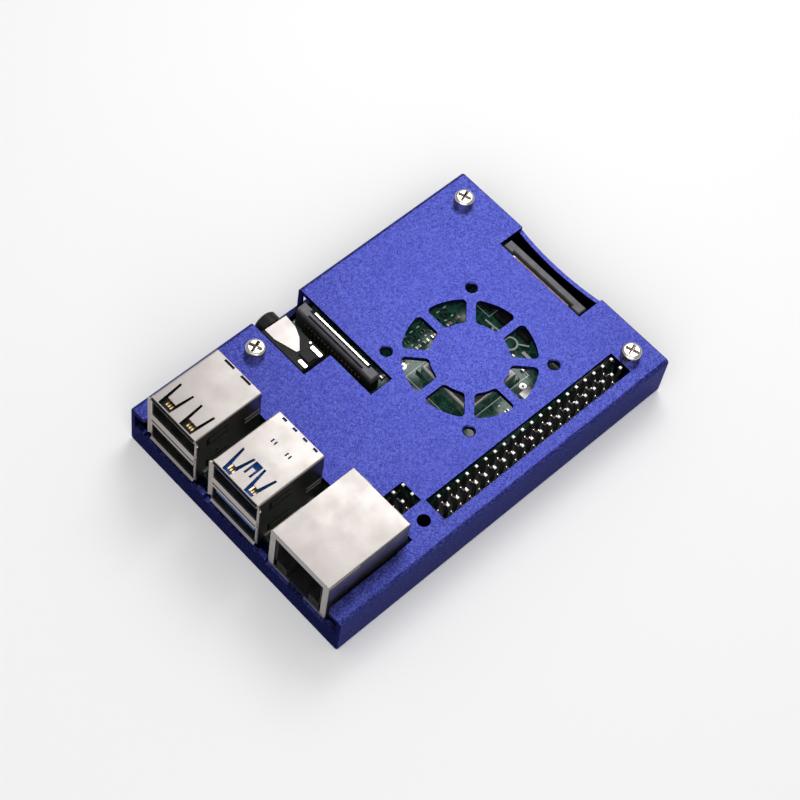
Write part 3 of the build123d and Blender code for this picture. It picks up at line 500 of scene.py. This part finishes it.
def pin_collar_highlights(work):
    """Painted highlight: a bright shoulder on each pin where it leaves the moulded strip."""
    grow = 0.14 * MM
    collar_height = 0.1 * MM
    for pins, strip in (("header_pins", "header_strip"), ("small_header_pins", "small_header_strip")):
        top = box(strip)[1].z
        for low, high in islands(pins):
            foot = (low.x - grow, low.y - grow, top)
            block(work, foot, (high.x + grow, high.y + grow, top + collar_height))


def pin_tip_highlights(work):
    """Painted highlight: a bright domed cap on the end of each header pin, in two tiers of half width and
    rise.
    """
    tiers = ((0.30, -0.06), (0.22, 0.01))
    depth = 0.42
    for pins in ("header_pins", "small_header_pins"):
        for low, high in islands(pins):
            centre = (low + high) / 2
            for reach, rise in tiers:
                foot = (centre.x - reach * MM, centre.y - reach * MM, high.z - depth * MM)
                block(work, foot, (centre.x + reach * MM, centre.y + reach * MM, high.z + rise * MM))


def rim_around(node, width, depth):
    """A painted highlight along the folded edge round the top of a sheet-metal lid; width and depth in
    millimetres.
    """
    inset, proud = -0.3, 0.03

    def fill(work):
        low, high = box(node)
        corners = rectangle(low, high, (inset, inset), (inset, inset))
        flat_strip(work, corners, width * MM, high.z - depth * MM, high.z + proud * MM, closed=True)

    return fill


def sloping_skin(work, root, tip, y0, y1):
    """A thin skin on a face that slopes from a root to a tip, both (x, z), outward and down."""
    along = (tip - root).normalized()
    out = Vector((-along.y, along.x)) * 0.03 * MM
    profile = (root, tip, tip + out, root + out)
    left = [work.verts.new((p.x, y0, p.y)) for p in profile]
    right = [work.verts.new((p.x, y1, p.y)) for p in profile]
    work.faces.new(left)
    work.faces.new(right[::-1])
    for a in range(4):
        b = (a + 1) % 4
        work.faces.new((left[a], right[a], right[b], left[b]))


def lip_shadows(work):
    """Black skins that stand for shade on the double sockets' top lip and their web's upper lip."""
    side_margin, lip_reach = 1.05 * MM, 0.45 * MM
    web_middle = 8.0
    for node in ("usb2_shell", "usb3_shell"):
        low, high = box(node)
        y0, y1 = low.y + side_margin, high.y - side_margin
        web = Vector((high.x - lip_reach, at(0, 0, web_middle).z))
        sloping_skin(work, web, web + Vector((0.26, -0.52)) * MM, y0, y1)
        top = Vector((high.x - lip_reach, high.z))
        root, tip = top + Vector((0.10, -0.122)) * MM, top + Vector((0.41, -0.50)) * MM
        sloping_skin(work, root, tip, y0, y1)


def tongue_noses(work):
    """Blue noses that reach 0.3 mm ahead of the two tongues of the middle double socket."""
    half_width, height = 5.5 * MM, 1.5 * MM
    gap, reach = 0.005 * MM, 0.30 * MM
    low, high = box("usb3_insert")
    middle = (low.y + high.y) / 2
    for below_roof in (0.95, 10.0):
        top = high.z - below_roof * MM
        foot = (high.x + gap, middle - half_width, top - height)
        block(work, foot, (high.x + reach, middle + half_width, top))


def mouth_shade_skins(work):
    """Painted shade: black skins for the shaded inside of the sockets' mouths."""
    skin = 0.03 * MM
    low, high = box("ethernet_insert")
    middle = (low.y + high.y) / 2
    x0, x1 = high.x + 0.005 * MM, high.x + skin
    network_strips = ((5.95, 6.55, 1.0, 11.7), (3.1, 6.55, 1.0, 3.6))
    for inner, outer, floor_z, roof_z in network_strips:
        z0, z1 = at(0, 0, floor_z).z, at(0, 0, roof_z).z
        block(work, (x0, middle + inner * MM, z0), (x1, middle + outer * MM, z1))
        block(work, (x0, middle - outer * MM, z0), (x1, middle - inner * MM, z1))

    side_margin, back_margin, front_margin = 1.0 * MM, 6.0 * MM, 0.8 * MM
    double_mouths = ((0.8, 6.6), (9.4, 15.65))
    for node in ("usb2_shell", "usb3_shell"):
        low, high = box(node)
        y0, y1 = low.y + side_margin, high.y - side_margin
        x0, x1 = low.x + back_margin, high.x - front_margin
        for floor_z, roof_z in double_mouths:
            z0, z1 = at(0, 0, floor_z).z, at(0, 0, roof_z).z
            block(work, (x0, y0, z0), (x1, y1, z0 + skin))
            block(work, (x0, y0, z0), (x1, y0 + skin, z1))
            block(work, (x0, y1 - skin, z0), (x1, y1, z1))


def camera_fingers(work):
    """Contact fingers down the side of the camera connector that faces the sockets, and their feet."""
    count, pitch, first, width = 17, 1.0, 3.0, 0.5 * MM
    proud, drop = 0.05 * MM, 0.7 * MM
    foot_length, foot_height = 0.9 * MM, 0.2 * MM
    low, high = box("camera_connector")
    for i in range(count):
        y = low.y + (first + pitch * i) * MM
        floor_z = board_high.z
        block(work, (high.x - proud, y, floor_z), (high.x + proud, y + width, high.z - drop))
        block(work, (high.x, y, floor_z), (high.x + foot_length, y + width, floor_z + foot_height))


def lock_shade(work):
    """Black skins that stand for the recess along the camera lock bar and the notches beside it."""
    low, high = box("camera_lock")
    y0, y1 = low.y + 2.9 * MM, high.y - 3.0 * MM
    z0, z1 = high.z - 0.05 * MM, high.z + 0.02 * MM
    block(work, (high.x - 0.62 * MM, y0, z0), (high.x - 0.12 * MM, y1, z1))
    notches, pitch, first, width = 26, 0.62, 0.1, 0.36 * MM
    for i in range(notches):
        y = y0 + (first + pitch * i) * MM
        block(work, (high.x - 1.50 * MM, y, z0), (high.x - 1.2 * MM, y + width, z1))


def connector_dot(work):
    """The one contact end that stands clear of the display connector's slot edge."""
    place = at(4.2, 19.6)
    top = box("display_contacts")[1].z
    half_x, half_y, height = 0.25 * MM, 0.3 * MM, 0.06 * MM
    foot = (place.x - half_x, place.y - half_y, top)
    block(work, foot, (place.x + half_x, place.y + half_y, top + height))


def usb_side_parts(prefix, loop_low, loop_high):
    """The spring loop, the solder legs, and black skins of painted shade for the slits on the sides of a
    double USB socket.
    """
    sheet = 0.35 * MM
    low, high = box(prefix + "_insert")
    side_low, side_high = low.y - sheet, high.y + sheet

    def both_sides(depth):
        """From the inside to the outside of a skin of some depth, on each side."""
        return ((side_high, side_high + depth), (side_low - depth, side_low))

    def parts(work):
        line = 0.28 * MM
        x0, x1 = at(70.9, 0).x, at(74.8, 0).x
        z0, z1 = at(0, 0, loop_low).z, at(0, 0, loop_high).z
        for y0, y1 in both_sides(0.12 * MM):
            block(work, (x0, y0, z0), (x1, y1, z0 + line))
            block(work, (x0, y0, z1 - line), (x1, y1, z1))
            block(work, (x0, y0, z0), (x0 + line, y1, z1))
        leg_size = 1.6 * MM
        for leg in (72.4, 83.6):
            x, z = at(leg, 0).x, board_high.z
            for y0, y1 in both_sides(0.25 * MM):
                block(work, (x, y0, z), (x + leg_size, y1, z + leg_size))

    # Painted shade: black skins that stand for the slits cut in the shell's sides.
    def slits(work):
        line = 0.3 * MM
        half_height = 1.3
        x0, x1 = at(79.2, 0).x, at(84.6, 0).x
        for centre in (3.9, 12.4):
            z0, z1 = at(0, 0, centre - half_height).z, at(0, 0, centre + half_height).z
            for y0, y1 in both_sides(0.015 * MM):
                block(work, (x0, y0, z0), (x1, y1, z0 + line))
                block(work, (x0, y0, z1 - line), (x1, y1, z1))
                block(work, (x1 - 2 * line, y0, z0), (x1, y1, z1))

    add_piece(prefix + "_side_parts", parts, slot_materials["socket_metal"], bevel=0.03 * MM)
    add_piece(prefix + "_side_slits", slits, painted_shade_black)


def network_hood(work):
    """The folded front hood of the network socket, a sheet proud of each side, and two rear tabs."""
    sheet, hood_length = 0.14 * MM, 7.8 * MM
    low, high = box("ethernet_shell")
    for y0, y1 in ((low.y - sheet, low.y), (high.y, high.y + sheet)):
        foot = (high.x - hood_length, y0, low.z + 1.2 * MM)
        block(work, foot, (high.x, y1, high.z - 0.3 * MM))

    tab_offset, tab_half_width, tab_sheet = 4.2 * MM, 1.4 * MM, 0.12 * MM
    for side in (-1, 1):
        middle = (low.y + high.y) / 2 + side * tab_offset
        foot = (low.x - tab_sheet, middle - tab_half_width, high.z - 1.6 * MM)
        block(work, foot, (low.x, middle + tab_half_width, high.z - 0.15 * MM))


def jack_cover(work):
    """The moulded step between the solder tabs of the audio jack."""
    low, high = box("audio_body")
    middle = (low.x + high.x) / 2
    foot = (middle - 1.25 * MM, high.y - 3.4 * MM, high.z - 0.1 * MM)
    block(work, foot, (middle + 0.95 * MM, high.y - 0.4 * MM, high.z + 0.3 * MM))


def card_grip(work):
    """Three ridges at the outer end of the memory card."""
    first, pitch, width, margin = 0.35, 0.45, 0.2 * MM, 1.5 * MM
    low, high = box("memory_card")
    for i in range(3):
        x = low.x + (first + pitch * i) * MM
        foot = (x, low.y + margin, high.z - 0.02 * MM)
        block(work, foot, (x + width, high.y - margin, high.z + 0.09 * MM))


add_piece("end_caps", end_caps, tinned)
add_piece("silk_outlines", silk_outlines, silk_white)
add_piece("silk_marks", silk_marks, silk_white)
add_piece("board_pads", board_pads, tinned)
add_piece("pin_tip_highlights", pin_tip_highlights, painted_highlight_tin, bevel=0.05 * MM)
add_piece("lid_rim_highlight", rim_around("processor_lid", 0.5, 0.25), painted_highlight_pale, bevel=0.06 * MM)
add_piece("lip_shadows", lip_shadows, painted_shade_black)
# Painted shade: the camera fingers take the darkened copy of the contact metal.
add_piece("camera_fingers", camera_fingers, slot_materials["bronze_metal"])
add_piece("lock_shade", lock_shade, painted_shade_black, body="camera_lock")
add_piece("can_rim_highlight", rim_around("wireless_can", 0.4, 0.2), painted_highlight_tin, bevel=0.06 * MM)
add_piece("tongue_noses", tongue_noses, bright_blue)
add_piece("mouth_shade_skins", mouth_shade_skins, painted_shade_black)
# Painted highlight: the one clear contact end is bright tin, beside contacts in the darkened contact
# metal.
add_piece("connector_dot", connector_dot, painted_highlight_tin, bevel=0.04 * MM)
add_piece("pin_collar_highlights", pin_collar_highlights, slot_materials["pin_metal"], bevel=0.02 * MM)
usb_side_parts("usb2", 8.9, 10.5)
usb_side_parts("usb3", 6.2, 7.8)
add_piece("network_hood", network_hood, slot_materials["socket_metal"], bevel=0.04 * MM)
add_piece("jack_cover", jack_cover, slot_materials["black_plastic"], bevel=0.08 * MM)
add_piece("card_grip", card_grip, slot_materials["dark_plastic"], body="memory_card", bevel=0.03 * MM)


# ---------------------------------------------------------------- floor, light, camera


def make_floor():
    """A plain pale sheet, a hair under the case."""
    place = (0, 0, cad_low.z - 0.02 * MM)
    bpy.ops.mesh.primitive_grid_add(x_subdivisions=8, y_subdivisions=8, size=6.0, location=place)
    floor = bpy.context.object
    floor.name = "floor"
    material, graph = new_material("floor_paper", (0.92, 0.92, 0.92), 0.0, 0.85)
    graph.bump(graph.noise(0.9 * MM), 0.01 * MM, 0.3)
    floor.data.materials.append(material)


def area_light(name, direction, distance, size, radiance, target):
    """A square soft light at a distance along a direction from the target, facing it."""
    data = bpy.data.lights.new(name, "AREA")
    data.shape = "SQUARE"
    data.size = size
    data.energy = radiance * math.pi * size * size
    lamp = bpy.data.objects.new(name, data)
    bpy.context.scene.collection.objects.link(lamp)
    lamp.location = target + Vector(direction).normalized() * distance
    lamp.rotation_euler = (target - lamp.location).to_track_quat("-Z", "Y").to_euler()


def make_lights(target):
    """A pale sky, a key light that shines off the cover at its vents, and a wide fill for the floor."""
    world = bpy.data.worlds.new("studio")
    bpy.context.scene.world = world
    world.use_nodes = True
    sky = world.node_tree.nodes["Background"]
    sky.inputs["Color"].default_value = (1.0, 1.0, 1.0, 1.0)
    sky.inputs["Strength"].default_value = 0.46
    vents = Vector((-13.0 * MM, 4.5 * MM, target.z))
    area_light("key", (-0.446, -0.304, 0.843), 0.30, 0.15, 4.40, vents)
    area_light("floor_fill", (0.62, 0.42, 0.72), 1.30, 1.60, 1.50, target)


def make_camera():
    """The view: from the port end and the header side, looking down steeply, turned a little."""
    azimuth = math.radians(127.4)
    elevation = math.radians(59.09)
    roll = math.radians(11.06)
    distance = 0.4212
    target = Vector((5.02 * MM, 2.38 * MM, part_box("top_cover")[1].z))
    forward = Vector(
        (
            -math.sin(azimuth) * math.cos(elevation),
            math.cos(azimuth) * math.cos(elevation),
            -math.sin(elevation),
        )
    )
    data = bpy.data.cameras.new("camera")
    data.sensor_width = 36.0
    data.lens = 96.0
    data.shift_x = 0.0054
    data.shift_y = 0.0070
    camera = bpy.data.objects.new("camera", data)
    bpy.context.scene.collection.objects.link(camera)
    level = forward.to_track_quat("-Z", "Y").to_matrix()
    camera.matrix_world = Matrix.LocRotScale(
        target - forward * distance, level @ Matrix.Rotation(roll, 3, "Z"), None
    )
    bpy.context.scene.camera = camera
    return target


make_floor()
make_lights(make_camera())
bpy.context.scene.view_settings.view_transform = "Standard"
